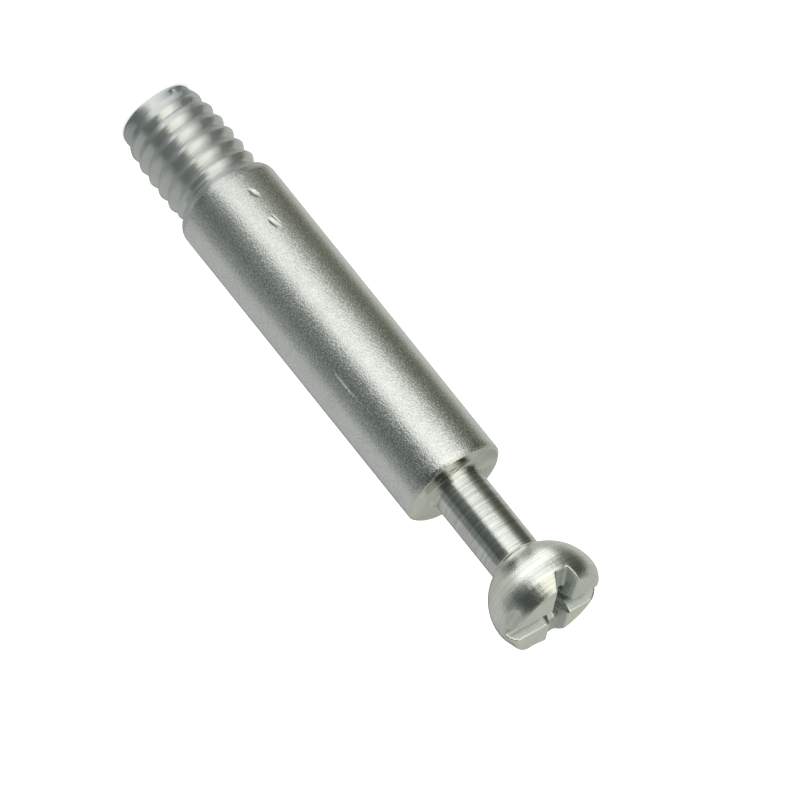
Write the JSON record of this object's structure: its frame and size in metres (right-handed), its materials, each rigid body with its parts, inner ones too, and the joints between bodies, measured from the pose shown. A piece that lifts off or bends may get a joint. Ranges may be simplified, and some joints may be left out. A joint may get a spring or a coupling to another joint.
{
  "type": "cam dowel",
  "caption": "Steel connecting dowel for flat-pack furniture: a short thread, a plain shank and a slim neck with a cross-recessed ball head for a cam.",
  "frame": {"origin": "centre of the flat face at the thread end, on which the dowel stands", "axes": "+Z along the dowel's axis from the thread end to the head; -Y along one wing of the cross recess"},
  "size_m": [0.007, 0.007, 0.0409],
  "materials": {
    "zinc_plated_steel": "clear zinc plate on rolled and turned steel, satin with a fine grain on the shank, brighter on the neck, head and thread"
  },
  "bodies": {
    "root": {"dowel": "zinc_plated_steel"}
  },
  "joints": []
}
